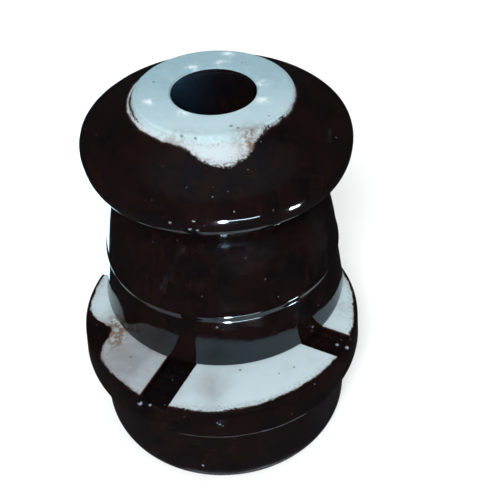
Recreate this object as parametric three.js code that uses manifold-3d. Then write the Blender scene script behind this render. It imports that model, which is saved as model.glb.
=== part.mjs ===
// Porcelain insulator set: an upper porcelain standing on a slotted lower porcelain.
// Millimetres, +Z up. The origin is the middle of the footprint, on the surface the lower piece stands on.
import * as THREE from 'three';
import { mergeVertices } from 'three/addons/utils/BufferGeometryUtils.js';
import Module from 'manifold-3d';

// Both pieces
const BORE_RADIUS = 11.3;          // clears an M20 stud
const BORE_CHAMFER = 0.6;
const SEAT_GAP = 0.3;              // between the lower seating face and the upper foot
const SEAT_OFFSET_X = 1.6;         // the upper piece stands off-centre on the lower one
const SEAT_OFFSET_Y = 12.1;
const TURN_SEGMENTS = 64;
const CURVE_STEPS = 7;
const TIGHT_CURVE_STEPS = 4;
const CORNER_STEPS = 2;
const SAME_POINT = 1e-4;           // points closer than this are one point

// Lower piece, heights from its underside
const LOWER_HEIGHT = 35.2;
const BASE_RADIUS = 37.6;
const BASE_EDGE = 3.0;             // rounding at the underside
const FLANGE_RADIUS = 41.2;
const FLANGE_TOP_RADIUS = 40.5;    // the flange's side has a little draft
const FLANGE_HEIGHT = 10.0;
const FLANGE_EDGE = 1.6;           // rounding at the seating face
const FLANGE_UNDERCUT = 1.2;       // slope of the flange's underside
const SLOT_COUNT = 4;
const SLOT_WIDTH = 8.7;
const SLOT_DEPTH = 3.0;
const SLOT_AZIMUTH = 30;           // degrees clockwise from -Y, seen from above

// Upper piece, heights from its underside
const UPPER_HEIGHT = 66.4;
const TOP_RING_RADIUS = 21.0;
const TOP_RING_EDGE = 0.8;
const TOP_RING_STEP = 1.8;         // the top ring stands this far above the dome
const DOME_START_RADIUS = 21.3;
const HEAD_RADIUS = 36.3;
const HEAD_HEIGHT = 52.9;          // height of the widest circle
const LIP_RADIUS = 27.0;           // the lip is the lowest circle of the head
const LIP_HEIGHT = 45.2;
const NECK_RADIUS = 23.5;
const NECK_HEIGHT = 41.0;
const SHOULDER_RADIUS = 30.7;
const SHOULDER_HEIGHT = 32.5;
const BELL_RADIUS = 33.7;
const BELL_FOOT_HEIGHT = 18.7;
const BEAD_RADIUS = 34.2;          // a slight bead runs round the top of the foot band
const BEAD_HEIGHT = 17.4;
const BEAD_TOP_HEIGHT = 18.2;
const BAND_TOP_RADIUS = 33.85;     // the band is a cone that widens towards the foot
const BAND_TOP_HEIGHT = 15.0;
const FOOT_RADIUS = 36.2;
const FOOT_EDGE = 0.8;             // rounding at the underside

// Where each curve of the upper outline is pulled as it leaves or reaches a point: [outward, upward]
const BAND_TOP_PULL = [-0.2, 1.3];
const BEAD_PULL = [0.0, -1.2];
const BELL_FOOT_PULL = [-0.7, 4.4];
const SHOULDER_PULL_BELOW = [1.3, -3.9];
const SHOULDER_PULL_ABOVE = [-2.2, 4.6];
const NECK_PULL_BELOW = [0.0, -3.5];
const NECK_PULL_ABOVE = [0.0, 3.2];
const LIP_PULL_INWARD = [-2.2, 0.0];
const LIP_PULL_OUTWARD = [5.5, 0.0];
const HEAD_PULL_BELOW = [0.0, -7.0];
const HEAD_PULL_ABOVE = [0.0, 6.2];
const DOME_PULL = [7.0, -4.9];

const BROWN_GLAZE = { color: 0x241a1b, roughness: 0.12, metalness: 0 };

const wasm = await Module();
wasm.setup();

function toSolid(geometry) {
  const bare = geometry.clone();
  bare.deleteAttribute('normal');
  bare.deleteAttribute('uv');
  const merged = mergeVertices(bare, SAME_POINT);
  return new wasm.Manifold(new wasm.Mesh({
    numProp: 3,
    vertProperties: new Float32Array(merged.attributes.position.array),
    triVerts: new Uint32Array(merged.index.array),
  }));
}

function toGeometry(solid) {
  const mesh = solid.getMesh();
  const geometry = new THREE.BufferGeometry();
  geometry.setAttribute('position', new THREE.BufferAttribute(mesh.vertProperties, 3));
  geometry.setIndex(new THREE.BufferAttribute(mesh.triVerts, 1));
  geometry.computeVertexNormals();
  return geometry;
}

// A closed outline of (radius, height) turned about +Z.
function turned(outline) {
  return new THREE.LatheGeometry(outline, TURN_SEGMENTS).rotateX(Math.PI / 2);
}

// An outline made of straight runs and curves, walked counter-clockwise from the bore's lower edge.
function outlineOf(stretches) {
  const pointsOf = (stretch) => (stretch.getPoints ? stretch.getPoints(stretch.steps) : [stretch]);
  const points = stretches.flatMap(pointsOf);
  const distinct = points.filter((point, i) => i === 0 || point.distanceTo(points[i - 1]) > SAME_POINT);
  distinct.push(distinct[0].clone());
  return distinct;
}

function at(radius, height) {
  return new THREE.Vector2(radius, height);
}

function curve(start, startPull, endPull, end, steps = CURVE_STEPS) {
  const leave = start.clone().add(at(...startPull));
  const arrive = end.clone().add(at(...endPull));
  const bezier = new THREE.CubicBezierCurve(start, leave, arrive, end);
  bezier.steps = steps;
  return bezier;
}

function corner(start, apex, end, steps = CORNER_STEPS) {
  const bezier = new THREE.QuadraticBezierCurve(start, apex, end);
  bezier.steps = steps;
  return bezier;
}

function lowerOutline() {
  const flangeFoot = LOWER_HEIGHT - FLANGE_HEIGHT;
  return outlineOf([
    at(BORE_RADIUS, BORE_CHAMFER),
    at(BORE_RADIUS + BORE_CHAMFER, 0),
    corner(at(BASE_RADIUS - BASE_EDGE, 0), at(BASE_RADIUS, 0), at(BASE_RADIUS, BASE_EDGE)),
    at(BASE_RADIUS, flangeFoot - FLANGE_UNDERCUT),
    corner(at(FLANGE_RADIUS - FLANGE_UNDERCUT, flangeFoot), at(FLANGE_RADIUS, flangeFoot),
      at(FLANGE_RADIUS, flangeFoot + FLANGE_UNDERCUT)),
    corner(at(FLANGE_TOP_RADIUS, LOWER_HEIGHT - FLANGE_EDGE), at(FLANGE_TOP_RADIUS, LOWER_HEIGHT),
      at(FLANGE_TOP_RADIUS - FLANGE_EDGE, LOWER_HEIGHT)),
    at(BORE_RADIUS + BORE_CHAMFER, LOWER_HEIGHT),
    at(BORE_RADIUS, LOWER_HEIGHT - BORE_CHAMFER),
  ]);
}

// Each bar crosses the whole face, so one bar makes two opposite slots.
function slotBar(angle) {
  const bar = new THREE.BoxGeometry(SLOT_WIDTH, 2 * FLANGE_RADIUS + SLOT_WIDTH, 2 * SLOT_DEPTH);
  bar.rotateZ(angle);
  bar.translate(0, 0, LOWER_HEIGHT);
  return toSolid(bar);
}

function lowerInsulator() {
  let solid = toSolid(turned(lowerOutline()));
  for (let i = 0; i < SLOT_COUNT / 2; i += 1) {
    const degrees = -SLOT_AZIMUTH + (i * 360) / SLOT_COUNT;
    solid = solid.subtract(slotBar(THREE.MathUtils.degToRad(degrees)));
  }
  return toGeometry(solid);
}

function upperOutline() {
  const bandTop = at(BAND_TOP_RADIUS, BAND_TOP_HEIGHT);
  const bead = at(BEAD_RADIUS, BEAD_HEIGHT);
  const bellFoot = at(BELL_RADIUS, BELL_FOOT_HEIGHT);
  const shoulder = at(SHOULDER_RADIUS, SHOULDER_HEIGHT);
  const neck = at(NECK_RADIUS, NECK_HEIGHT);
  const lip = at(LIP_RADIUS, LIP_HEIGHT);
  const head = at(HEAD_RADIUS, HEAD_HEIGHT);
  const domeStart = at(DOME_START_RADIUS, UPPER_HEIGHT - TOP_RING_STEP);
  return outlineOf([
    at(BORE_RADIUS, BORE_CHAMFER),
    at(BORE_RADIUS + BORE_CHAMFER, 0),
    corner(at(FOOT_RADIUS - FOOT_EDGE, 0), at(FOOT_RADIUS, 0), at(FOOT_RADIUS, FOOT_EDGE)),
    curve(bandTop, BAND_TOP_PULL, BEAD_PULL, bead, TIGHT_CURVE_STEPS),
    corner(bead, at(BEAD_RADIUS, BEAD_TOP_HEIGHT), bellFoot),
    curve(bellFoot, BELL_FOOT_PULL, SHOULDER_PULL_BELOW, shoulder),
    curve(shoulder, SHOULDER_PULL_ABOVE, NECK_PULL_BELOW, neck),
    curve(neck, NECK_PULL_ABOVE, LIP_PULL_INWARD, lip, TIGHT_CURVE_STEPS),
    curve(lip, LIP_PULL_OUTWARD, HEAD_PULL_BELOW, head),
    curve(head, HEAD_PULL_ABOVE, DOME_PULL, domeStart),
    corner(at(TOP_RING_RADIUS, UPPER_HEIGHT - TOP_RING_EDGE), at(TOP_RING_RADIUS, UPPER_HEIGHT),
      at(TOP_RING_RADIUS - TOP_RING_EDGE, UPPER_HEIGHT)),
    at(BORE_RADIUS + BORE_CHAMFER, UPPER_HEIGHT),
    at(BORE_RADIUS, UPPER_HEIGHT - BORE_CHAMFER),
  ]);
}

function part(name, geometry, finish, position) {
  const mesh = new THREE.Mesh(geometry, new THREE.MeshStandardMaterial(finish));
  mesh.name = name;
  mesh.position.copy(position);
  return mesh;
}

// The head reaches past the flange at the back, which moves the middle of the footprint.
const footprintMiddle = (SEAT_OFFSET_Y + HEAD_RADIUS - FLANGE_RADIUS) / 2;
const lowerPlace = new THREE.Vector3(0, -footprintMiddle, 0);
const upperPlace = lowerPlace.clone().add(
  new THREE.Vector3(SEAT_OFFSET_X, SEAT_OFFSET_Y, LOWER_HEIGHT + SEAT_GAP));

const group = new THREE.Group();
group.add(part('lower_insulator', lowerInsulator(), BROWN_GLAZE, lowerPlace));
group.add(part('upper_insulator', turned(upperOutline()), BROWN_GLAZE, upperPlace));

export default group;
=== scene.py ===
# Porcelain insulator set: a mushroom-headed upper porcelain standing off-centre on a slotted lower one.
# Both are turned shapes of white porcelain under a near-black brown glaze, which stops short of the
# faces that were left bare. Shapes are worked out in millimetres and written to the meshes in metres.
# Azimuths are in degrees from -Y towards +X, and heights are measured from a piece's underside.
import math

import bpy
import numpy as np
from mathutils import Matrix, Vector, noise


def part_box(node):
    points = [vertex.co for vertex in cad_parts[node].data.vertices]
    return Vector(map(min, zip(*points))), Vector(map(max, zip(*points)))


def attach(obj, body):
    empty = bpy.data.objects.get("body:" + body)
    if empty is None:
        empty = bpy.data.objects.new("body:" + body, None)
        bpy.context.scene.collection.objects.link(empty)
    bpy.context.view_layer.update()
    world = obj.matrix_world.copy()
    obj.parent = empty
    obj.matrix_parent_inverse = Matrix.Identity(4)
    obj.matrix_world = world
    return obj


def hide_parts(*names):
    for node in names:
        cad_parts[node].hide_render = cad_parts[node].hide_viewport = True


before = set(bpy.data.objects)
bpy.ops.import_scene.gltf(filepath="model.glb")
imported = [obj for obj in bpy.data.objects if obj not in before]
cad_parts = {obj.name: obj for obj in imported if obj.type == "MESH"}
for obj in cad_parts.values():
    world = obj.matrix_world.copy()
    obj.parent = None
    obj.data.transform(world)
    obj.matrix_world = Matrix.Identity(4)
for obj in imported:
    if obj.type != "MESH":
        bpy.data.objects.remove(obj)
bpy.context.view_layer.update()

MM = 0.001


def node_box(node):
    """The lowest and highest corner of one CAD node, in millimetres."""
    low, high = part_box(node)
    return np.array(low) / MM, np.array(high) / MM


LOWER_LOW, LOWER_HIGH = node_box("lower_insulator")
UPPER_LOW, UPPER_HIGH = node_box("upper_insulator")
LOWER_AXIS = (LOWER_LOW[:2] + LOWER_HIGH[:2]) / 2
UPPER_AXIS = (UPPER_LOW[:2] + UPPER_HIGH[:2]) / 2

# Both pieces, in millimetres
BORE_RADIUS = 11.3
BORE_CHAMFER = 0.6
SEAT_CLEARANCE = 0.05              # what is left of the CAD gap between the two pieces

# Lower piece
LOWER_HEIGHT = LOWER_HIGH[2] - LOWER_LOW[2]
FLANGE_RADIUS = (LOWER_HIGH[0] - LOWER_LOW[0]) / 2
FLANGE_DRAFT = 0.07                # how fast the flange's side draws in with height
FLANGE_HEIGHT = 10.0
FLANGE_LIP = 1.3                   # rounding at the bottom of the flange's side
FLANGE_OVERHANG = 3.6
FACE_EDGE = 1.6                    # rounding at the seating face
OUTER_FACE_WIDTH = 9.0             # this much of the seating face is meshed more finely
BASE_RADIUS = FLANGE_RADIUS - FLANGE_OVERHANG
BASE_EDGE = 3.0
CORNER_DROP = 2.2                  # the corner under the flange starts this far below it,
CORNER_OUT = 1.4                   # ends this far out from the base,
CORNER_RISE = 0.5                  # where the underside is still this far down,
CORNER_BEND = 0.7                  # and turns this far below it
SLOT_COUNT = 4
SLOT_AZIMUTH = -30.0               # of the first slot
SLOT_HALF_WIDTH = 4.35
SLOT_DEPTH = 3.0
SLOT_LIP = 0.35                    # rounding along a slot's upper edges
SLOT_FILLET = 1.1                  # rounding along a slot's floor
SLOT_WALL_LEAN = 0.1
LAND_COLUMNS = 76                  # mesh columns between two slots

# Upper piece
UPPER_HEIGHT = UPPER_HIGH[2] - UPPER_LOW[2]
HEAD_RADIUS = (UPPER_HIGH[0] - UPPER_LOW[0]) / 2
HEAD_HEIGHT = 52.9                 # of the widest circle
TOP_RING_RADIUS = 21.0
TOP_RING_EDGE = 1.1
TOP_RING_STEP = 1.8                # the top ring stands this far above the dome
STEP_BEND = (0.3, 0.1)             # the corner below the step, out from the ring and up from the step's foot
DOME_END_RADIUS = 22.5
DOME_END_DROP = 0.6                # below the step's foot
LIP_RADIUS = 27.0                  # the lip is the lowest circle of the head
LIP_HEIGHT = 45.2
NECK_RADIUS = 23.5
NECK_HEIGHT = 41.0
SHOULDER_RADIUS = 30.7
SHOULDER_HEIGHT = 32.5
BELL_RADIUS = 33.7
BELL_FOOT_HEIGHT = 18.7
BEAD_RADIUS = 34.2                 # a slight bead runs round the top of the foot band
BEAD_HEIGHT = 17.4
BEAD_TOP_HEIGHT = 18.2
BAND_TOP_RADIUS = 33.85            # the band is a cone that widens towards the foot
BAND_TOP_HEIGHT = 15.0
FOOT_RADIUS = 36.2
FOOT_EDGE = 0.8
UPPER_COLUMNS = 352

# Where each curve of the upper outline is pulled as it leaves or reaches a point: (outward, upward)
BAND_TOP_PULL = (-0.2, 1.3)
BEAD_PULL = (0.0, -1.2)
BELL_FOOT_PULL = (-0.7, 4.4)
SHOULDER_PULL_BELOW = (1.3, -3.9)
SHOULDER_PULL_ABOVE = (-2.2, 4.6)
NECK_PULL_BELOW = (0.0, -3.5)
NECK_PULL_ABOVE = (0.0, 3.2)
LIP_PULL_INWARD = (-2.2, 0.0)
LIP_PULL_OUTWARD = (5.5, 0.0)
HEAD_PULL_BELOW = (0.0, -7.0)
HEAD_PULL_ABOVE = (0.0, 6.2)
DOME_PULL = (6.3, -4.4)


def bezier(*pulls, steps):
    """Points along a curve that starts at the first pull, ends at the last and bends towards the others."""
    t = np.linspace(0, 1, steps + 1)[:, None]
    layers = [np.array(p, float) for p in pulls]
    while len(layers) > 1:
        layers = [a * (1 - t) + b * t for a, b in zip(layers, layers[1:])]
    return layers[0]


def line(start, end, steps):
    return bezier(start, end, steps=steps)


def curve(start, leaving, arriving, end, steps):
    """A curve whose two ends are each pulled by an (outward, upward) amount."""
    return bezier(start, np.add(start, leaving), np.add(end, arriving), end, steps=steps)


def joined(stretches):
    """One outline of (radius, height) from stretches that each start where the last one ended."""
    return np.vstack([stretch[:-1] for stretch in stretches])


def upper_outline():
    """Anticlockwise from the bore's lower edge: underside, foot, band, bell, neck, head, ring and bore."""
    step_foot = UPPER_HEIGHT - TOP_RING_STEP
    bore_foot, bore_top = (BORE_RADIUS, BORE_CHAMFER), (BORE_RADIUS, UPPER_HEIGHT - BORE_CHAMFER)
    hole_foot, hole_edge = (BORE_RADIUS + BORE_CHAMFER, 0), (BORE_RADIUS + BORE_CHAMFER, UPPER_HEIGHT)
    foot_in, foot_out = (FOOT_RADIUS - FOOT_EDGE, 0), (FOOT_RADIUS, FOOT_EDGE)
    band_top, bead = (BAND_TOP_RADIUS, BAND_TOP_HEIGHT), (BEAD_RADIUS, BEAD_HEIGHT)
    bell_foot = (BELL_RADIUS, BELL_FOOT_HEIGHT)
    shoulder, neck = (SHOULDER_RADIUS, SHOULDER_HEIGHT), (NECK_RADIUS, NECK_HEIGHT)
    lip, head = (LIP_RADIUS, LIP_HEIGHT), (HEAD_RADIUS, HEAD_HEIGHT)
    dome_end = (DOME_END_RADIUS, step_foot - DOME_END_DROP)
    step_bend = np.add((TOP_RING_RADIUS, step_foot), STEP_BEND)
    ring_side = (TOP_RING_RADIUS, UPPER_HEIGHT - TOP_RING_EDGE)
    ring_edge = (TOP_RING_RADIUS - TOP_RING_EDGE, UPPER_HEIGHT)
    return joined([
        line(bore_foot, hole_foot, steps=2),
        line(hole_foot, foot_in, steps=14),
        bezier(foot_in, (FOOT_RADIUS, 0), foot_out, steps=8),
        line(foot_out, band_top, steps=18),
        curve(band_top, BAND_TOP_PULL, BEAD_PULL, bead, steps=10),
        bezier(bead, (BEAD_RADIUS, BEAD_TOP_HEIGHT), bell_foot, steps=9),
        curve(bell_foot, BELL_FOOT_PULL, SHOULDER_PULL_BELOW, shoulder, steps=22),
        curve(shoulder, SHOULDER_PULL_ABOVE, NECK_PULL_BELOW, neck, steps=16),
        curve(neck, NECK_PULL_ABOVE, LIP_PULL_INWARD, lip, steps=12),
        curve(lip, LIP_PULL_OUTWARD, HEAD_PULL_BELOW, head, steps=26),
        curve(head, HEAD_PULL_ABOVE, DOME_PULL, dome_end, steps=56),
        bezier(dome_end, step_bend, ring_side, steps=8),
        bezier(ring_side, (TOP_RING_RADIUS, UPPER_HEIGHT), ring_edge, steps=7),
        line(ring_edge, hole_edge, steps=20),
        bezier(hole_edge, (BORE_RADIUS, UPPER_HEIGHT), bore_top, steps=4),
        line(bore_top, bore_foot, steps=24),
    ])


def flange_side(height):
    """The radius of the flange's side, which has a little draft."""
    return FLANGE_RADIUS - FLANGE_DRAFT * (height - LOWER_HEIGHT + FLANGE_HEIGHT)


def lower_outline(drop):
    """The same way round as the upper outline, with the seating face lowered by drop."""
    face = LOWER_HEIGHT - drop
    flange_foot = LOWER_HEIGHT - FLANGE_HEIGHT
    rim = flange_side(face)
    bore_foot, bore_top = (BORE_RADIUS, BORE_CHAMFER), (BORE_RADIUS, face - BORE_CHAMFER)
    hole_foot, hole_edge = (BORE_RADIUS + BORE_CHAMFER, 0), (BORE_RADIUS + BORE_CHAMFER, face)
    base_in, base_out = (BASE_RADIUS - BASE_EDGE, 0), (BASE_RADIUS, BASE_EDGE)
    corner_in = (BASE_RADIUS, flange_foot - CORNER_DROP)
    corner_bend = (BASE_RADIUS, flange_foot - CORNER_BEND)
    corner_out = (BASE_RADIUS + CORNER_OUT, flange_foot - CORNER_RISE)
    lip_in, lip_out = (FLANGE_RADIUS - FLANGE_LIP, flange_foot), (FLANGE_RADIUS, flange_foot + FLANGE_LIP)
    rim_side, rim_face = (flange_side(face - FACE_EDGE), face - FACE_EDGE), (rim - FACE_EDGE, face)
    mid_face = (rim_face[0] - OUTER_FACE_WIDTH, face)
    return joined([
        line(bore_foot, hole_foot, steps=2),
        line(hole_foot, base_in, steps=16),
        bezier(base_in, (BASE_RADIUS, 0), base_out, steps=8),
        line(base_out, corner_in, steps=22),
        bezier(corner_in, corner_bend, corner_out, steps=5),
        line(corner_out, lip_in, steps=2),
        bezier(lip_in, (FLANGE_RADIUS, flange_foot), lip_out, steps=6),
        line(lip_out, rim_side, steps=12),
        bezier(rim_side, (rim, face), rim_face, steps=8),
        line(rim_face, mid_face, steps=22),
        line(mid_face, hole_edge, steps=26),
        bezier(hole_edge, (BORE_RADIUS, face), bore_top, steps=3),
        line(bore_top, bore_foot, steps=16),
    ])


def slot_section():
    """(offset from a slot's middle line, drop below the face) from the middle of the slot's floor out."""
    wall = SLOT_HALF_WIDTH
    wall_foot = wall - SLOT_WALL_LEAN
    fillet_in, fillet_up = (wall - SLOT_FILLET, SLOT_DEPTH), (wall_foot, SLOT_DEPTH - SLOT_FILLET)
    floor = line((0, SLOT_DEPTH), fillet_in, steps=5)
    fillet = bezier(fillet_in, (wall_foot, SLOT_DEPTH), fillet_up, steps=6)
    side = line(fillet_up, (wall, SLOT_LIP), steps=4)
    lip = bezier((wall, SLOT_LIP), (wall, 0), (wall + SLOT_LIP, 0), steps=4)
    return np.vstack([joined([floor, fillet, side, lip]), lip[-1:]])


def compass(azimuth):
    """Unit vectors outward and sideways at an azimuth."""
    a = np.radians(azimuth)
    return np.stack([np.sin(a), -np.cos(a)], -1), np.stack([np.cos(a), np.sin(a)], -1)


def upper_grid():
    """Points of the upper piece as rows along its outline by columns round its axis."""
    outline = upper_outline()
    out, _ = compass(np.linspace(-180, 180, UPPER_COLUMNS, endpoint=False))
    points = np.empty((len(outline), UPPER_COLUMNS, 3))
    points[..., :2] = UPPER_AXIS + outline[:, None, :1] * out
    points[..., 2] = outline[:, 1:] + UPPER_LOW[2]
    return points


def lower_grid():
    """Points of the lower piece. Columns in a slot run along it, so they are parallel and not radial."""
    section = slot_section()
    across = np.vstack([section[:0:-1] * (-1, 1), section])
    edge = across[-1, 0]
    pitch = 360 / SLOT_COUNT
    columns = []
    for slot in range(SLOT_COUNT):
        azimuth = SLOT_AZIMUTH + slot * pitch
        out, side = compass(azimuth)
        for offset, drop in across:
            r, z = lower_outline(drop).T
            along = np.sqrt(r ** 2 - offset ** 2)
            columns.append((along[:, None] * out + offset * side, z))
        for share in np.linspace(0, 1, LAND_COLUMNS + 1)[1:-1]:
            r, z = lower_outline(0).T
            turn = np.degrees(np.arcsin(edge / r))
            land_out, _ = compass(azimuth + turn + share * (pitch - 2 * turn))
            columns.append((r[:, None] * land_out, z))
    points = np.empty((len(columns[0][1]), len(columns), 3))
    points[..., :2] = LOWER_AXIS + np.stack([xy for xy, _ in columns], 1)
    points[..., 2] = np.stack([z for _, z in columns], 1) + LOWER_LOW[2]
    return points


def smooth(low, high, value):
    """0 at low and 1 at high, easing in and out."""
    t = np.clip((value - low) / (high - low), 0, 1)
    return t * t * (3 - 2 * t)


def hump(middle, half_width, value):
    """1 at the middle, falling to 0 on both sides."""
    return np.exp(-((value - middle) / half_width) ** 2)


def sector(middle, half_width, azimuth):
    """A hump over azimuths that knows that 180 and -180 are the same."""
    return hump(0, half_width, (azimuth - middle + 180) % 360 - 180)


SEED_SHIFT = Vector((13.7, 7.3, 3.1))
FRACTAL_DIMENSION = 0.8
FRACTAL_LACUNARITY = 2.0


def fractal(points, size, octaves, seed):
    """Noise of about -1 to 1 with features of about the given size."""
    shift = SEED_SHIFT * seed
    flat = points.reshape(-1, 3) / size
    values = [noise.fractal(Vector(p) + shift, FRACTAL_DIMENSION, FRACTAL_LACUNARITY, octaves) for p in flat]
    return np.array(values).reshape(points.shape[:-1])


def polar(points, axis):
    """Radius and azimuth in degrees round a vertical axis."""
    x, y = points[..., 0] - axis[0], points[..., 1] - axis[1]
    return np.hypot(x, y), np.degrees(np.arctan2(x, -y))


def outward(points):
    """Unit normals of a grid that closes on itself both ways."""
    along = np.roll(points, -1, 0) - np.roll(points, 1, 0)
    round_axis = np.roll(points, -1, 1) - np.roll(points, 1, 1)
    normals = np.cross(round_axis, along)
    return normals / np.linalg.norm(normals, axis=-1, keepdims=True)


# Where the glaze stops. These distances are above 0 in the glaze and below 0 on bare porcelain.
DEEP_IN_GLAZE = 5.0
FAR_FROM_GLAZE = -1.0
UNDERSIDE_ZONE = 1.0               # the upper underside's own glaze line lies within this height

# The upper piece is bare on its top ring, on the dome beside the ring's left, and in a patch at its front
RING_REACH = 21.0
SIDE_REACH = 1.4
SIDE_COMES_IN = (-170, -110)
SIDE_GOES_OUT = (40, -10)
PATCH_REACH = 4.4
PATCH_AZIMUTH, PATCH_HALF_WIDTH, PATCH_SHARPNESS = 5, 18, 3
RING_WANDER, RING_WANDER_SIZE = 0.28, 4.0
DOME_SLOPE = 1.12                  # distance along the dome for each millimetre of radius
THREAD_RADIUS = 21.6               # a thread of glaze lies in the corner of the ring's step, on the left
THREAD_HALF_WIDTH = 0.36
THREAD_AZIMUTH, THREAD_SPREAD = -86, 60
THREAD_FADE = 2.0
BORE_WALL = 0.35                   # points this close to the bore belong to its wall
BORE_BARE_DEPTH = 0.45
BORE_LINE_SHARPNESS = 5
FOOT_BARE_HEIGHT = 0.35
FOOT_BARE_WIDTH = 0.4 * FOOT_EDGE

# How ragged the upper glaze lines are: most in the patch, least away from the dome
RAGGED_DOME, RAGGED_ELSEWHERE = 1.0, 0.25
RAGGED_MIN, RAGGED_IN_PATCH = 0.30, 0.9
RAGGED_AZIMUTH, RAGGED_SPREAD = 8, 22
RAGGED_RADIUS = 15                 # the bore's edge lies inside this


def upper_glaze(points):
    """The signed distance from the nearest glaze line, and how ragged that line is."""
    radius, azimuth = polar(points, UPPER_AXIS)
    height = points[..., 2] - UPPER_LOW[2]
    on_head = height > HEAD_HEIGHT
    reach = RING_REACH + SIDE_REACH * smooth(*SIDE_GOES_OUT, azimuth) * smooth(*SIDE_COMES_IN, azimuth)
    off_patch = np.abs((azimuth - PATCH_AZIMUTH) / PATCH_HALF_WIDTH)
    reach += PATCH_REACH * np.exp(-off_patch ** PATCH_SHARPNESS)
    reach += RING_WANDER * fractal(points, RING_WANDER_SIZE, octaves=3, seed=1)
    on_dome = (radius - reach) * DOME_SLOPE
    thread = THREAD_HALF_WIDTH - np.abs(radius - THREAD_RADIUS)
    thread -= THREAD_FADE * (1 - hump(THREAD_AZIMUTH, THREAD_SPREAD, azimuth))
    on_dome = np.maximum(on_dome, thread)

    wall = radius < BORE_RADIUS + BORE_WALL
    in_bore = np.where(wall, UPPER_HEIGHT - BORE_BARE_DEPTH - height, FAR_FROM_GLAZE)
    in_bore = np.maximum(BORE_LINE_SHARPNESS * in_bore, FAR_FROM_GLAZE)
    underside = height - FOOT_BARE_HEIGHT + (radius - FOOT_RADIUS + FOOT_BARE_WIDTH)
    glaze = np.where(on_head, on_dome, DEEP_IN_GLAZE)
    glaze = np.where((height < UNDERSIDE_ZONE) & ~wall, underside, glaze)
    glaze = np.where(radius < BORE_RADIUS + BORE_CHAMFER, in_bore, glaze)

    ragged = np.where(on_head & (radius > RAGGED_RADIUS), RAGGED_DOME, RAGGED_ELSEWHERE)
    ragged = ragged * (RAGGED_MIN + RAGGED_IN_PATCH * hump(RAGGED_AZIMUTH, RAGGED_SPREAD, azimuth))
    return glaze, ragged


# The lower piece is bare on the seating face and the underside. The slots are glazed.
FACE_REACH = 39.5
FRONT_CREEP, FRONT_AZIMUTH, FRONT_SPREAD = 1.1, 24, 24
LEFT_CREEP, LEFT_AZIMUTH, LEFT_SPREAD = 6.0, -77, 8.5
FACE_WANDER, FACE_WANDER_SIZE = 0.35, 5.0
FACE_ZONE = 30                     # the face's own line lies outside this radius
SLOT_SPILL = 0.12                  # the glaze comes this far out of a slot
SLOT_ZONE = 0.5                    # and a slot's walls lie within this of its edges
SLOT_ZONE_DEPTH = 0.5              # below its floor
BASE_BARE_HEIGHT = 0.2
BASE_WANDER, BASE_WANDER_SIZE = 0.1, 6.0
RAGGED_FACE, RAGGED_SLOT = 0.5, 0.12


def lower_glaze(points):
    """The same two layers for the lower piece."""
    radius, azimuth = polar(points, LOWER_AXIS)
    height = points[..., 2] - LOWER_LOW[2]
    depth = LOWER_HEIGHT - height
    reach = FACE_REACH - FRONT_CREEP * hump(FRONT_AZIMUTH, FRONT_SPREAD, azimuth)
    reach -= LEFT_CREEP * hump(LEFT_AZIMUTH, LEFT_SPREAD, azimuth)
    reach += FACE_WANDER * fractal(points, FACE_WANDER_SIZE, octaves=3, seed=2)
    on_face = radius - reach + np.maximum(0, depth) * (radius > FACE_ZONE)

    pitch = 360 / SLOT_COUNT
    from_slot = (azimuth - SLOT_AZIMUTH + pitch / 2) % pitch - pitch / 2
    across = np.abs(radius * np.sin(np.radians(from_slot)))
    in_slot = SLOT_HALF_WIDTH + SLOT_SPILL - across + depth * (across < SLOT_HALF_WIDTH + SLOT_ZONE)

    on_base = height - BASE_BARE_HEIGHT + BASE_WANDER * fractal(points, BASE_WANDER_SIZE, octaves=2, seed=3)
    glaze = np.maximum(on_face, in_slot)
    glaze = np.where(depth > SLOT_DEPTH + SLOT_ZONE_DEPTH, DEEP_IN_GLAZE, glaze)
    glaze = np.where(height < BASE_EDGE, on_base, glaze)
    ragged = np.where(on_face > in_slot, RAGGED_FACE, RAGGED_SLOT)
    return glaze, ragged


def spot(points, middle, half_width):
    """1 at a point, falling to 0 round it. Half widths along X, Y and Z."""
    away = (points - np.array(middle)) / np.array(half_width)
    return np.exp(-(away ** 2).sum(-1))


def spots(points, origin, table):
    """The sum of spots given as (strength, place from the origin, half widths)."""
    return sum(strength * spot(points, np.add(origin, place), size) for strength, place, size in table)


def scratch(points, start, end, half_width):
    """1 along a straight mark between two points, falling to 0 beside it."""
    run = end - start
    share = np.clip(((points - start) @ run) / (run @ run), 0, 1)
    away = np.linalg.norm(points - start - share[..., None] * run, axis=-1)
    return np.exp(-(away / half_width) ** 2)


# Marks on the upper piece, as (strength, place, half widths). Stains and scuffs are placed from the middle
# of the top ring, and dust, painted sheen and scratches from the middle of the foot.
UPPER_STAINS = (
    (0.8, (8.5, -19.5, -1), (4.5, 3.0, 3)),
    (0.7, (8, -22.5, -3), (3.0, 3.0, 3)),
    (0.5, (-10, -19.0, -2), (6.0, 2.4, 3)))
SCUFF_SIZE = (1.5, 1.3, 1)
UPPER_SCUFFS = [(1, (x, y, 0), SCUFF_SIZE) for x, y in (
    (-16.4, -4.0), (4.8, 17.9), (2.7, 13.3), (-5.4, 11.6), (12.6, 2.0), (12.0, -6.1), (-7.9, -9.9))]
# Dust on the bell's front, and painted sheen: a tall grey band down the right of the bell
UPPER_DUST_AND_SHEEN = (
    (0.4, (5.4, -29.0, 34.6), (7, 5, 4)),
    (0.5, (27.0, -17.0, 30.0), (4, 5, 9)))
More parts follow.
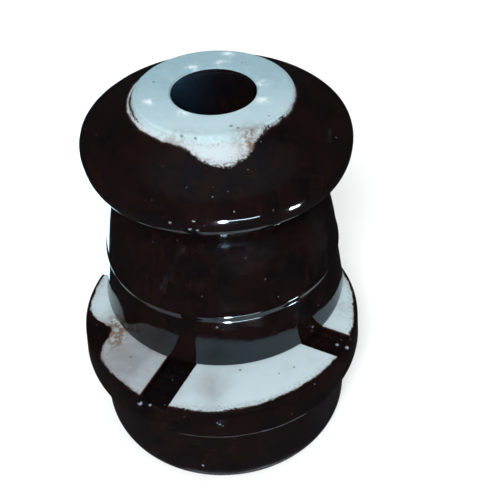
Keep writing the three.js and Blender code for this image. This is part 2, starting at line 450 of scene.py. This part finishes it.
# A scratch down the bell's front left, and a painted reflection: a short streak high on the head's right
UPPER_SCRATCHES_AND_REFLECTIONS = (                # (strength, start, end, half width)
    (0.7, (-10.2, -26.0, 35.9), (-17.0, -28.4, 24.0), 0.8),
    (0.8, (28.8, -11.4, 59.6), (28.0, -15.0, 59.0), 0.5))
SHADE_FROM, SHADE_TO, SHADE_CURVE = 15, -19, 1.5    # painted shade: the ring is painted paler towards its front between these places along Y
CREAM_FROM, CREAM_TO = 20.8, 22.0                # radii over which the ring's outer edge turns cream
SHEEN_DEPTHS = (26, 2)                           # daylight in the bore fades between these depths
SHEEN_WALL = 0.3
SHEEN_SPREAD = 50
SHEEN_AZIMUTH = -105
SHEEN_FRONT, SHEEN_FRONT_AZIMUTH = 0.2, -20


def upper_marks(points):
    """Layers from 0 to 1 for the shader: painted shade, paler at the ring's front, where the piece is
    stained, scuffed or dusty, where sheen is painted, and where daylight falls in the bore."""
    top_middle = np.append(UPPER_AXIS, UPPER_HIGH[2])
    foot_middle = np.append(UPPER_AXIS, UPPER_LOW[2])
    radius, azimuth = polar(points, UPPER_AXIS)
    # Dust and painted sheen both dull the glaze and paint it a lighter grey
    dust_and_sheen = spots(points, foot_middle, UPPER_DUST_AND_SHEEN)
    for strength, start, end, half_width in UPPER_SCRATCHES_AND_REFLECTIONS:
        dust_and_sheen += strength * scratch(points, foot_middle + start, foot_middle + end, half_width)
    bore = (radius < BORE_RADIUS + SHEEN_WALL) * smooth(*SHEEN_DEPTHS, UPPER_HIGH[2] - points[..., 2])
    daylight = sector(SHEEN_AZIMUTH, SHEEN_SPREAD, azimuth)
    daylight += SHEEN_FRONT * sector(SHEEN_FRONT_AZIMUTH, SHEEN_SPREAD, azimuth)
    layers = {
        # Painted shade: the ring's back is painted deeper and its front paler
        "painted_shade_and_smudges": smooth(SHADE_FROM, SHADE_TO, points[..., 1] - UPPER_AXIS[1]) ** SHADE_CURVE,
        "cream": smooth(CREAM_FROM, CREAM_TO, radius),
        "stain": spots(points, top_middle, UPPER_STAINS),
        "scuff": spots(points, top_middle, UPPER_SCUFFS),
        "dust_and_sheen": dust_and_sheen,
        "sheen": bore * daylight}
    return {name: np.clip(values, 0, 1) for name, values in layers.items()}


# Marks on the lower piece, placed from the middle of its seating face
LOWER_STAINS = (
    (2.0, (-31.0, -8.0, 0), (3.0, 6.0, 4)),
    (0.3, (35.5, -4.5, 0), (2.4, 3.6, 4)))
LOWER_DUST = (
    (0.9, (-2.0, -40.6, -3.6), (1.1, 2, 1.6)),
    (0.5, (30, -26, -20), (5, 6, 9)))
LOWER_SMUDGES = ((0.55, (-4.0, -30.5, 0), (4.5, 8, 4)),)
# Painted shade across the left front of the seating face, deepest at this azimuth
SIDE_SHADE, SIDE_SHADE_AZIMUTH, SIDE_SHADE_SPREAD = 0.95, -55, 24
BASE_DUST_HEIGHTS = (5, 2)         # dust thickens down the last of the base between these heights


def lower_marks(points):
    """The same layers for the lower piece."""
    face_middle = np.append(LOWER_AXIS, LOWER_HIGH[2])
    _, azimuth = polar(points, LOWER_AXIS)
    # Painted shade on the left front of the face, then the face's smudges
    painted_shade_and_smudges = 1 - SIDE_SHADE * hump(SIDE_SHADE_AZIMUTH, SIDE_SHADE_SPREAD, azimuth)
    painted_shade_and_smudges -= spots(points, face_middle, LOWER_SMUDGES)
    dust_and_sheen = spots(points, face_middle, LOWER_DUST)
    dust_and_sheen += smooth(*BASE_DUST_HEIGHTS, points[..., 2] - LOWER_LOW[2])
    nothing = np.zeros(points.shape[:-1])
    layers = {"painted_shade_and_smudges": painted_shade_and_smudges, "cream": nothing, "stain": spots(points, face_middle, LOWER_STAINS),
              "scuff": nothing, "dust_and_sheen": dust_and_sheen, "sheen": nothing}
    return {name: np.clip(values, 0, 1) for name, values in layers.items()}


GLAZE_THICKNESS = 0.2
GLAZE_RISE = (-0.1, 0.7)           # the glaze comes to its full thickness over these distances
ROLL_HEIGHT = 0.4 * GLAZE_THICKNESS
ROLL_DISTANCE, ROLL_WIDTH = 0.7, 0.5    # a low roll runs along its edge
WARP, WARP_SIZE = 0.10, 30.0
WARP_RISE = (0.5, 2.5)


def bodied(points, glaze, seed):
    """The surface as fired: slightly out of true, with the glaze standing proud of the bare porcelain."""
    thickness = GLAZE_THICKNESS * smooth(*GLAZE_RISE, glaze)
    roll = ROLL_HEIGHT * hump(ROLL_DISTANCE, ROLL_WIDTH, glaze)
    warp = WARP * fractal(points, WARP_SIZE, octaves=2, seed=seed) * smooth(*WARP_RISE, glaze)
    return points + outward(points) * (thickness + roll + warp)[..., None]


def mesh_from_grid(name, points, layers):
    """A closed mesh whose rows and columns both run right round, with one float layer for each given name."""
    rows, columns = points.shape[:2]
    index = np.arange(rows * columns).reshape(rows, columns)
    down, right = np.roll(index, -1, 0), np.roll(index, -1, 1)
    corner = np.roll(down, -1, 1)
    quads = np.stack([index, right, corner, down], -1).reshape(-1, 4)
    mesh = bpy.data.meshes.new(name)
    mesh.from_pydata((points.reshape(-1, 3) * MM).tolist(), [], quads.tolist())
    mesh.shade_smooth()
    for layer, values in layers.items():
        attribute = mesh.attributes.new(layer, "FLOAT", "POINT")
        attribute.data.foreach_set("value", values.ravel().astype(np.float32))
    mesh.validate()
    piece = bpy.data.objects.new(name, mesh)
    bpy.context.scene.collection.objects.link(piece)
    return piece


class Nodes:
    """Short calls for building one material's node tree."""

    def __init__(self, name):
        self.material = bpy.data.materials.new(name)
        self.material.use_nodes = True
        self.tree = self.material.node_tree
        self.tree.nodes.clear()

    def add(self, kind, inputs=None, **settings):
        node = self.tree.nodes.new("ShaderNode" + kind)
        for key, value in settings.items():
            setattr(node, key, value)
        for key, value in (inputs or {}).items():
            if isinstance(value, bpy.types.NodeSocket):
                self.tree.links.new(value, node.inputs[key])
            else:
                node.inputs[key].default_value = value
        return node

    def math(self, operation, *values, clamp=False):
        node = self.add("Math", dict(enumerate(values)), operation=operation, use_clamp=clamp)
        return node.outputs[0]

    def ramp(self, value, low, high, out_low=0.0, out_high=1.0):
        """A value mapped smoothly from low..high to out_low..out_high."""
        node = self.add("MapRange", {0: value, 1: low, 2: high, 3: out_low, 4: out_high},
                        interpolation_type="SMOOTHSTEP")
        return node.outputs[0]

    def mix(self, share, a, b):
        node = self.add("Mix", {0: share, 6: a, 7: b}, data_type="RGBA")
        return node.outputs[2]

    def layer(self, name):
        return self.add("Attribute", attribute_name=name, attribute_type="GEOMETRY").outputs["Fac"]

    def noise(self, place, size, detail, roughness, seed):
        """Noise from 0 to 1 with features of about the given size in millimetres."""
        shift = (seed, seed * 2, seed * 3)
        shifted = self.add("VectorMath", {0: place, 1: shift}, operation="ADD").outputs[0]
        node = self.add("TexNoise", {"Vector": shifted, "Scale": 1 / size, "Detail": detail,
                                     "Roughness": roughness})
        return node.outputs["Fac"]

    def dots(self, place, spacing, radius, share, soft=0.3):
        """Round dots on a share of the cells of an uneven grid: 1 in each dot's middle and 0 outside."""
        node = self.add("TexVoronoi", {"Vector": place, "Scale": 1 / spacing, "Randomness": 1.0})
        chosen = self.add("SeparateColor", {0: node.outputs["Color"]})
        size = self.math("MULTIPLY", chosen.outputs[1], radius / spacing)
        shape = self.ramp(self.math("DIVIDE", node.outputs["Distance"], size), 1.0, 1.0 - soft)
        return self.math("MULTIPLY", shape, self.math("LESS_THAN", chosen.outputs[0], share))

    def dome(self, place, middle, radius):
        """1 at a point and 0 beyond the radius, in the shape of a low dome."""
        away = self.add("VectorMath", {0: place, 1: middle}, operation="DISTANCE").outputs["Value"]
        return self.ramp(away, radius, 0.0)


# Bare porcelain. Each piece's deep colour paints shade, and also serves for clouding and smudges
UPPER_PALE, UPPER_DEEP = (0.335, 0.445, 0.485, 1), (0.20, 0.315, 0.36, 1)
LOWER_PALE, LOWER_DEEP = (0.43, 0.525, 0.56, 1), (0.215, 0.225, 0.24, 1)
CREAM = (0.39, 0.44, 0.465, 1)
CLOUDED = (0.50, 0.52, 0.52, 1)
SCUFFED = (0.60, 0.68, 0.70, 1)
SOILED = (0.14, 0.105, 0.095, 1)
STAINED = (0.13, 0.077, 0.050, 1)
SOOT = (0.12, 0.09, 0.08, 1)
SPECK = (0.05, 0.04, 0.045, 1)

# Glaze
GLAZE_DARK, GLAZE_BROWN = (0.0030, 0.0020, 0.0024, 1), (0.0062, 0.0028, 0.0026, 1)
GLAZE_RUN = (0.0135, 0.0055, 0.0042, 1)
GLAZE_THIN = (0.035, 0.015, 0.011, 1)
# Pale dots of dust on the glaze, also standing in as painted pinhole glints
DUST_AND_GLINT_MOTE = (0.16, 0.165, 0.18, 1)
# The grey of dust on the glaze, also used to paint sheen and reflections
DUST_AND_SHEEN_HAZE = (0.036, 0.034, 0.042, 1)
# A painted glint on the cap of each listed bubble
BUBBLE_GLINT = (0.42, 0.52, 0.60, 1)
BORE_SHEEN = (0.010, 0.026, 0.046, 1)
GLAZE_IOR = 1.6
GLAZE_TINT = (0.66, 0.88, 1.0, 1)  # reflections in the glaze are a little blue
DUST_DULLNESS = 0.16

# The glaze line is frayed by this much where ragged is 1, and then blurred
FRAY_COARSE, FRAY_FINE = 1.0, 4.4
BLUR_SHARP, BLUR_RAGGED = 1.0, 1.6
LINE_FROM, LINE_TO = -0.12, 0.14

# Relief, in units of the bump's distance
BUMP_DISTANCE = 0.25 * MM
BARE_GRAIN = 0.16
GLAZE_STEP = 0.6
WAVE_HEIGHT = 0.32
PIT_DEPTH = 0.35
BLISTER_HEIGHT = 0.45
BUBBLE_STEEPNESS = 1.6             # height for each millimetre of a bubble's radius
GLINT_SIZE, GLINT_STRENGTH = 0.8, 0.9  # of the painted glint on a bubble's cap, each for a millimetre of its radius


def porcelain(name, pale, deep, glinting_bubbles, specks):
    """Brown glaze over bare porcelain. The mesh's layers say where each shows. Each bubble, with a painted
    glint on its cap, and each speck is a (place, radius) in millimetres."""
    n = Nodes(name)
    coordinates = n.add("TexCoord").outputs["Object"]
    place = n.add("VectorMath", {0: coordinates, "Scale": 1 / MM}, operation="SCALE").outputs[0]
    ragged = n.layer("ragged")
    edge = frayed_edge(n, place, ragged)
    blur = n.math("ADD", n.math("MULTIPLY", ragged, BLUR_RAGGED), BLUR_SHARP)
    glazed = n.ramp(n.math("DIVIDE", edge, blur), LINE_FROM, LINE_TO)
    mottle = n.noise(place, size=2.0, detail=4.0, roughness=0.6, seed=6.0)

    bare = bare_colour(n, place, edge, ragged, mottle, pale, deep)
    for middle, radius in specks:
        bare = n.mix(n.math("MULTIPLY", n.dome(place, middle, radius), 0.9), bare, SPECK)
    colour = n.mix(glazed, bare, glaze_colour(n, place, edge, glinting_bubbles))

    uneven = n.noise(place, size=11.0, detail=4.0, roughness=0.6, seed=33.0)
    dull = n.math("MULTIPLY", n.layer("dust_and_sheen"), DUST_DULLNESS)
    gloss = n.math("ADD", n.ramp(uneven, 0.45, 0.75, out_low=0.07, out_high=0.15), dull)
    matt = n.ramp(mottle, 0.3, 0.7, out_low=0.62, out_high=0.78)
    rough = n.add("Mix", {0: glazed, 2: matt, 3: gloss}, data_type="FLOAT").outputs[0]

    grain = n.math("MULTIPLY", n.noise(place, size=0.35, detail=4.0, roughness=0.7, seed=51.0), BARE_GRAIN)
    relief = n.math("ADD", glaze_relief(n, place, glinting_bubbles), GLAZE_STEP)
    height = n.add("Mix", {0: glazed, 2: grain, 3: relief}, data_type="FLOAT").outputs[0]
    bump = n.add("Bump", {"Height": height, "Strength": 1.0, "Distance": BUMP_DISTANCE})

    shader = n.add("BsdfPrincipled", {"Base Color": colour, "Roughness": rough, "Normal": bump.outputs[0],
                                      "IOR": GLAZE_IOR, "Specular Tint": GLAZE_TINT})
    n.add("OutputMaterial", {"Surface": shader.outputs[0]})
    return n.material


def frayed_edge(n, place, ragged):
    """The distance from the glaze line, made uneven where the line is ragged."""
    coarse = n.math("SUBTRACT", n.noise(place, size=2.2, detail=4.0, roughness=0.6, seed=4.0), 0.5)
    fine = n.math("SUBTRACT", n.noise(place, size=0.6, detail=5.0, roughness=0.7, seed=9.0), 0.5)
    fray = n.math("ADD", n.math("MULTIPLY", coarse, FRAY_COARSE), n.math("MULTIPLY", fine, FRAY_FINE))
    return n.math("ADD", n.layer("glaze_distance"), n.math("MULTIPLY", fray, ragged))


def bare_colour(n, place, edge, ragged, mottle, pale, deep):
    """Unglazed porcelain: painted shade, clouded, scuffed, stained, and soiled next to the glaze."""
    drift = n.noise(place, size=7.0, detail=4.0, roughness=0.6, seed=2.0)
    cloud = n.ramp(drift, 0.25, 0.75, out_low=-0.15, out_high=0.15)
    # Painted shade: the deep colour where the layer is low, the pale lit colour where it is high
    colour = n.mix(n.math("ADD", n.layer("painted_shade_and_smudges"), cloud, clamp=True), deep, pale)
    colour = n.mix(n.math("MULTIPLY", n.layer("cream"), 0.85), colour, CREAM)
    colour = n.mix(n.math("MULTIPLY", n.ramp(mottle, 0.50, 0.75), 0.18), colour, CLOUDED)
    scuffed = n.math("MULTIPLY", n.layer("scuff"), n.ramp(mottle, 0.36, 0.60))
    colour = n.mix(scuffed, colour, SCUFFED)

    grime = n.noise(place, size=0.7, detail=5.0, roughness=0.7, seed=12.0)
    grimy = n.math("MULTIPLY", n.ramp(grime, 0.44, 0.60), ragged)
    fringe = n.math("MULTIPLY", n.ramp(edge, -2.4, -0.2), grimy)
    colour = n.mix(n.math("MULTIPLY", fringe, 0.85), colour, SOILED)

    blotches = n.noise(place, size=1.6, detail=4.0, roughness=0.65, seed=15.0)
    stained = n.math("MULTIPLY", n.layer("stain"), n.ramp(blotches, 0.34, 0.6))
    colour = n.mix(n.math("MULTIPLY", stained, 0.95), colour, STAINED)
    soot = n.dots(place, spacing=2.4, radius=0.40, share=0.16)
    return n.mix(n.math("MULTIPLY", soot, 0.7), colour, SOOT)


def glaze_colour(n, place, edge, glinting_bubbles):
    """Near-black glaze: browner in runs, warm where it's thin, grey where dusty and where sheen is painted,
    with pale dots of dust and painted glint, and a painted glint on each bubble.
    """
    depth = n.noise(place, size=9.0, detail=4.0, roughness=0.65, seed=21.0)
    colour = n.mix(n.ramp(depth, 0.36, 0.66), GLAZE_DARK, GLAZE_BROWN)
    drawn_down = n.add("VectorMath", {0: place, 1: (1.0, 1.0, 0.3)}, operation="MULTIPLY").outputs[0]
    runs = n.noise(drawn_down, size=1.6, detail=5.0, roughness=0.65, seed=27.0)
    colour = n.mix(n.math("MULTIPLY", n.ramp(runs, 0.50, 0.80), 0.8), colour, GLAZE_RUN)
    # Pale dots: dust motes, partly painted pinhole glints
    dust_and_glint_dots = n.dots(place, spacing=1.7, radius=0.20, share=0.22)
    colour = n.mix(n.math("MULTIPLY", dust_and_glint_dots, 0.7), colour, DUST_AND_GLINT_MOTE)
    # Grey haze where the glaze is dusty, and painted sheen
    patchy = n.noise(place, size=3.0, detail=4.0, roughness=0.55, seed=60.0)
    haze_share = n.math("MULTIPLY", n.layer("dust_and_sheen"), n.ramp(patchy, 0.30, 0.70))
    colour = n.mix(n.math("MULTIPLY", haze_share, 0.4), colour, DUST_AND_SHEEN_HAZE)
    # A painted glint on the cap of each bubble
    for middle, radius in glinting_bubbles:
        glint = n.math("MULTIPLY", n.dome(place, middle, GLINT_SIZE * radius), GLINT_STRENGTH * radius)
        colour = n.mix(glint, colour, BUBBLE_GLINT)
    colour = n.mix(n.layer("sheen"), colour, BORE_SHEEN)
    return n.mix(n.ramp(edge, 0.7, 0.05), colour, GLAZE_THIN)


def glaze_relief(n, place, glinting_bubbles):
    """Height of the glaze: gentle waves, pits where a bubble burst and blisters where one did not."""
    waves = n.noise(place, size=5.0, detail=2.0, roughness=0.4, seed=40.0)
    pits = n.dots(place, spacing=6.5, radius=0.50, share=0.30, soft=0.8)
    blisters = n.dots(place, spacing=9.0, radius=0.75, share=0.22, soft=0.9)
    relief = n.math("MULTIPLY", waves, WAVE_HEIGHT)
    relief = n.math("SUBTRACT", relief, n.math("MULTIPLY", pits, PIT_DEPTH))
    relief = n.math("ADD", relief, n.math("MULTIPLY", blisters, BLISTER_HEIGHT))
    for middle, radius in glinting_bubbles:
        bubble = n.math("MULTIPLY", n.dome(place, middle, radius), BUBBLE_STEEPNESS * radius)
        relief = n.math("ADD", relief, bubble)
    return relief


def around(axis, height, marks):
    """Places in millimetres of (dx, dy, dz, radius) marks measured from an axis at a height."""
    return [((axis[0] + dx, axis[1] + dy, height + dz), radius) for dx, dy, dz, radius in marks]


# Single bubble and speck places, as (dx, dy, dz, radius) from the middle of the foot, the top ring, the
# slots' floor or the seating face. Each bubble gets a painted glint on its cap; the three high on the head's
# right are there for their painted glints.
UPPER_BUBBLES_AND_GLINTS = around(UPPER_AXIS, UPPER_LOW[2], (
    (-12.3, -34.2, 51.9, 0.6), (-6.7, -35.7, 53.2, 0.6), (-7.7, -35.3, 50.4, 0.7), (-5.9, -35.5, 50.2, 0.7),
    (-1.8, -33.4, 58.1, 0.5), (-16.0, -31.2, 56.5, 0.4), (-7.7, -30.7, 59.2, 0.4), (-4.2, -36.0, 52.0, 0.4),
    (4.1, -33.6, 57.7, 0.4), (3.0, -35.9, 55.4, 0.4), (-3.1, -34.3, 13.8, 0.6), (23.9, -26.7, 3.1, 0.7),
    (30.0, -11.7, 58.7, 0.45), (30.0, -13.1, 58.5, 0.5), (29.9, -14.3, 58.1, 0.35)))
UPPER_SPECKS = around(UPPER_AXIS, UPPER_HIGH[2], (
    (3.7, -16.8, 0.0, 0.8), (5.3, -17.8, 0.0, 0.6), (8.6, -18.9, 0.0, 0.8), (-15.4, 5.5, 0.0, 0.6),
    (10.9, -19.7, -1.8, 0.7), (-5.0, -20.3, -0.6, 0.6), (-8.4, -19.2, -0.4, 0.7)))
LOWER_BUBBLES_AND_GLINTS = around(LOWER_AXIS, LOWER_HIGH[2] - SLOT_DEPTH + GLAZE_THICKNESS, (
    (32.7, -16.6, 0.0, 0.9), (35.4, -17.9, 0.0, 1.0), (-23.8, -32.6, 0.0, 1.1), (-21.0, -33.5, 0.0, 0.7),
    (-8.3, -36.7, -26.1, 0.7), (-3.0, -40.6, -0.3, 0.5), (-2.3, -40.7, -0.9, 0.6), (-1.5, -40.7, -1.5, 0.5)))
LOWER_SPECKS = around(LOWER_AXIS, LOWER_HIGH[2], (
    (4.1, -25.8, 0.0, 0.6), (19.1, -26.1, 0.0, 0.5), (-26.5, -18.5, 0.0, 0.6)))
SETTLING_HEIGHTS = (3.0, 0.5)      # the upper piece's foot is drawn down to the face between these heights


def make_upper():
    points = upper_grid()
    glaze, ragged = upper_glaze(points)
    marks = upper_marks(points)
    points = bodied(points, glaze, seed=5)
    seat = LOWER_HIGH[2] + SEAT_CLEARANCE
    near_foot = smooth(*SETTLING_HEIGHTS, points[..., 2] - UPPER_LOW[2])
    points[..., 2] -= (UPPER_LOW[2] - seat) * near_foot
    points[..., 2] = np.maximum(points[..., 2], seat)
    piece = mesh_from_grid("upper_porcelain", points, {"glaze_distance": glaze, "ragged": ragged, **marks})
    piece.data.materials.append(porcelain("upper_glaze", UPPER_PALE, UPPER_DEEP, UPPER_BUBBLES_AND_GLINTS, UPPER_SPECKS))
    return piece


def make_lower():
    points = lower_grid()
    glaze, ragged = lower_glaze(points)
    marks = lower_marks(points)
    points = bodied(points, glaze, seed=8)
    points[..., 2] = np.clip(points[..., 2], LOWER_LOW[2], LOWER_HIGH[2])
    piece = mesh_from_grid("lower_porcelain", points, {"glaze_distance": glaze, "ragged": ragged, **marks})
    piece.data.materials.append(porcelain("lower_glaze", LOWER_PALE, LOWER_DEEP, LOWER_BUBBLES_AND_GLINTS, LOWER_SPECKS))
    return piece


def place_piece(piece, body, node):
    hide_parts(node)
    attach(piece, body)


# The set, in metres: a pale floor that curves up into a backdrop all round
FLOOR_RADIUS = 0.75
BACKDROP_RADIUS = 1.5
BACKDROP_HEIGHT = 1.6
BACKDROP_COLUMNS = 96
PAPER, PALE_PAPER = (0.86, 0.86, 0.855, 1), (0.90, 0.90, 0.895, 1)


def make_backdrop():
    flat = line((0.0, 0.0), (FLOOR_RADIUS, 0.0), steps=12)
    rise = bezier((FLOOR_RADIUS, 0), (BACKDROP_RADIUS, 0), (BACKDROP_RADIUS, BACKDROP_HEIGHT), steps=24)
    outline = np.vstack([flat[1:-1], rise])
    out, _ = compass(np.linspace(0, 360, BACKDROP_COLUMNS, endpoint=False))
    points = np.empty((len(outline), BACKDROP_COLUMNS, 3))
    points[..., :2] = outline[:, None, :1] * out
    points[..., 2] = outline[:, 1:]
    index = np.arange(len(outline) * BACKDROP_COLUMNS).reshape(len(outline), BACKDROP_COLUMNS) + 1
    right = np.roll(index, -1, 1)
    quads = np.stack([index[:-1], right[:-1], right[1:], index[1:]], -1).reshape(-1, 4).tolist()
    middle = [(0, int(b), int(a)) for a, b in zip(index[0], right[0])]
    mesh = bpy.data.meshes.new("backdrop")
    mesh.from_pydata([(0, 0, 0)] + points.reshape(-1, 3).tolist(), [], quads + middle)
    mesh.shade_smooth()
    n = Nodes("pale_backdrop")
    place = n.add("TexCoord").outputs["Object"]
    fleck = n.add("TexNoise", {"Vector": place, "Scale": 40.0, "Detail": 3.0}).outputs["Fac"]
    paper = n.mix(fleck, PAPER, PALE_PAPER)
    shader = n.add("BsdfPrincipled", {"Base Color": paper, "Roughness": 0.9, "Specular IOR Level": 0.1})
    n.add("OutputMaterial", {"Surface": shader.outputs[0]})
    mesh.materials.append(n.material)
    backdrop = bpy.data.objects.new("backdrop", mesh)
    bpy.context.scene.collection.objects.link(backdrop)
    backdrop.visible_glossy = False
    backdrop.visible_shadow = False


def area_light(name, place, target, size, power, colour=(1, 1, 1), catch=False, only=None):
    """A rectangular light. A catch light only makes a highlight, on one piece if only names it; any other
    light only lights the surfaces."""
    data = bpy.data.lights.new(name, "AREA")
    data.shape = "RECTANGLE"
    data.size, data.size_y = size
    data.energy = power
    data.color = colour
    lamp = bpy.data.objects.new(name, data)
    lamp.location = place
    lamp.rotation_euler = (Vector(target) - Vector(place)).to_track_quat("-Z", "Y").to_euler()
    lamp.visible_camera = False
    lamp.visible_glossy = catch
    lamp.visible_diffuse = not catch
    if only:
        lit = bpy.data.collections.new(name + "_falls_on")
        lit.objects.link(only)
        lamp.light_linking.receiver_collection = lit
    bpy.context.scene.collection.objects.link(lamp)


def towards(azimuth, elevation, distance, origin):
    """The place at a distance from the origin given, in the direction of an azimuth and an elevation."""
    a, e = math.radians(azimuth), math.radians(elevation)
    step = Vector((math.sin(a) * math.cos(e), -math.cos(a) * math.cos(e), math.sin(e)))
    return Vector(origin) + step * distance


# The room's brightness by direction, from straight below (0) to straight overhead (1)
ROOM_STOPS = ((0.0, 0.034), (0.08, 0.030), (0.22, 0.010), (0.88, 0.012), (0.97, 0.11))
ROOM_TINT = (0.9, 0.95, 1.0)


def make_room():
    """A dim room seen only in the gloss: a little lighter straight overhead and straight below."""
    world = bpy.data.worlds.new("room")
    world.use_nodes = True
    tree = world.node_tree
    heading = tree.nodes.new("ShaderNodeTexCoord").outputs["Generated"]
    split = tree.nodes.new("ShaderNodeSeparateXYZ")
    ramp = tree.nodes.new("ShaderNodeValToRGB")
    tree.links.new(heading, split.inputs[0])
    height = tree.nodes.new("ShaderNodeMapRange")
    height.inputs["From Min"].default_value = -1
    tree.links.new(split.outputs["Z"], height.inputs["Value"])
    tree.links.new(height.outputs[0], ramp.inputs[0])
    while len(ramp.color_ramp.elements) < len(ROOM_STOPS):
        ramp.color_ramp.elements.new(0.5)
    for element, (where, light) in zip(ramp.color_ramp.elements, ROOM_STOPS):
        element.position = where
        element.color = (*(light * tint for tint in ROOM_TINT), 1)
    tree.links.new(ramp.outputs[0], tree.nodes["Background"].inputs["Color"])
    bpy.context.scene.world = world


# Soft lights, in metres and watts
KEY_PLACE, KEY_AIM, KEY_SIZE, KEY_POWER = (-0.25, -1.10, 1.15), (0, 0, 0.05), (0.6, 0.6), 27.0
KEY_COLOUR = (0.97, 0.99, 1.0)
OVERHEAD_PLACE, OVERHEAD_AIM, OVERHEAD_SIZE, OVERHEAD_POWER = (0.1, 0.15, 1.35), (0, 0, 0), (1.6, 1.6), 7.0
CATCH_DISTANCE = 2.0               # of the lamps that each make one highlight


def make_lights(upper, lower):
    """Soft light on everything, and small lamps that each make one highlight."""
    area_light("key", KEY_PLACE, KEY_AIM, KEY_SIZE, KEY_POWER, KEY_COLOUR)
    area_light("overhead", OVERHEAD_PLACE, OVERHEAD_AIM, OVERHEAD_SIZE, OVERHEAD_POWER)
    rim = Vector((UPPER_AXIS[0], UPPER_AXIS[1] - HEAD_RADIUS, UPPER_LOW[2] + HEAD_HEIGHT)) * MM
    flange = Vector((LOWER_AXIS[0], LOWER_AXIS[1] - FLANGE_RADIUS, LOWER_HIGH[2] - FLANGE_HEIGHT)) * MM
    for name, azimuth, elevation, aim, size, power, colour, only in (
            ("lamp", 0, -39.5, rim, (0.16, 0.25), 34.0, (1.0, 1.0, 1.0), upper),
            ("strip", 16, -38.5, rim, (0.87, 0.06), 7.0, (0.95, 0.98, 1.0), upper),
            ("side_strip", 67, -42, rim, (0.25, 0.10), 6.7, (0.88, 1.0, 0.98), upper),
            ("back_window", 180, 14, rim, (1.20, 0.80), 6.0, (0.85, 0.93, 1.0), None),
            ("low_window", -160, -34, rim, (0.67, 0.87), 7.0, (0.55, 0.80, 1.0), upper),
            ("under_strip", -6, -72, flange, (1.33, 0.07), 1.4, (0.9, 0.93, 1.0), lower),
            ("under_strip_right", 69, -70, flange, (0.90, 0.07), 0.7, (0.9, 0.93, 1.0), lower)):
        place = towards(azimuth, elevation, CATCH_DISTANCE, aim)
        area_light(name, place, aim, size, power, colour, catch=True, only=only)


# The camera is placed from a point on the upper piece's axis, level with the seating face, and looks down
# towards it. Lengths are in millimetres and angles in degrees.
CAMERA_LENS = 58.58
CAMERA_SENSOR = 36.0
CAMERA_CLIP = (0.01, 10.0)         # in metres
CAMERA_DISTANCE = 254.2            # from that point
CAMERA_ELEVATION = 44.4
CAMERA_ROLL = -3.6                 # the roll, tilt and pan turn it a little away from that point
CAMERA_TILT = 1.78
CAMERA_PAN = -1.746


def make_camera():
    data = bpy.data.cameras.new("camera")
    data.sensor_width = CAMERA_SENSOR
    data.lens = CAMERA_LENS
    data.clip_start, data.clip_end = CAMERA_CLIP
    target = (UPPER_AXIS[0] * MM, UPPER_AXIS[1] * MM, LOWER_HIGH[2] * MM)
    place = towards(0, CAMERA_ELEVATION, CAMERA_DISTANCE * MM, target)
    camera = bpy.data.objects.new("camera", data)
    camera.matrix_world = (Matrix.Translation(place)
                           @ Matrix.Rotation(math.radians(90 - CAMERA_ELEVATION), 4, "X")
                           @ Matrix.Rotation(math.radians(CAMERA_ROLL), 4, "Z")
                           @ Matrix.Rotation(math.radians(CAMERA_TILT), 4, "X")
                           @ Matrix.Rotation(math.radians(CAMERA_PAN), 4, "Y"))
    bpy.context.scene.collection.objects.link(camera)
    bpy.context.scene.camera = camera
    bpy.context.scene.view_settings.view_transform = "Standard"


upper = make_upper()
lower = make_lower()
place_piece(upper, "upper", "upper_insulator")
place_piece(lower, "lower", "lower_insulator")
make_backdrop()
make_room()
make_lights(upper, lower)
make_camera()
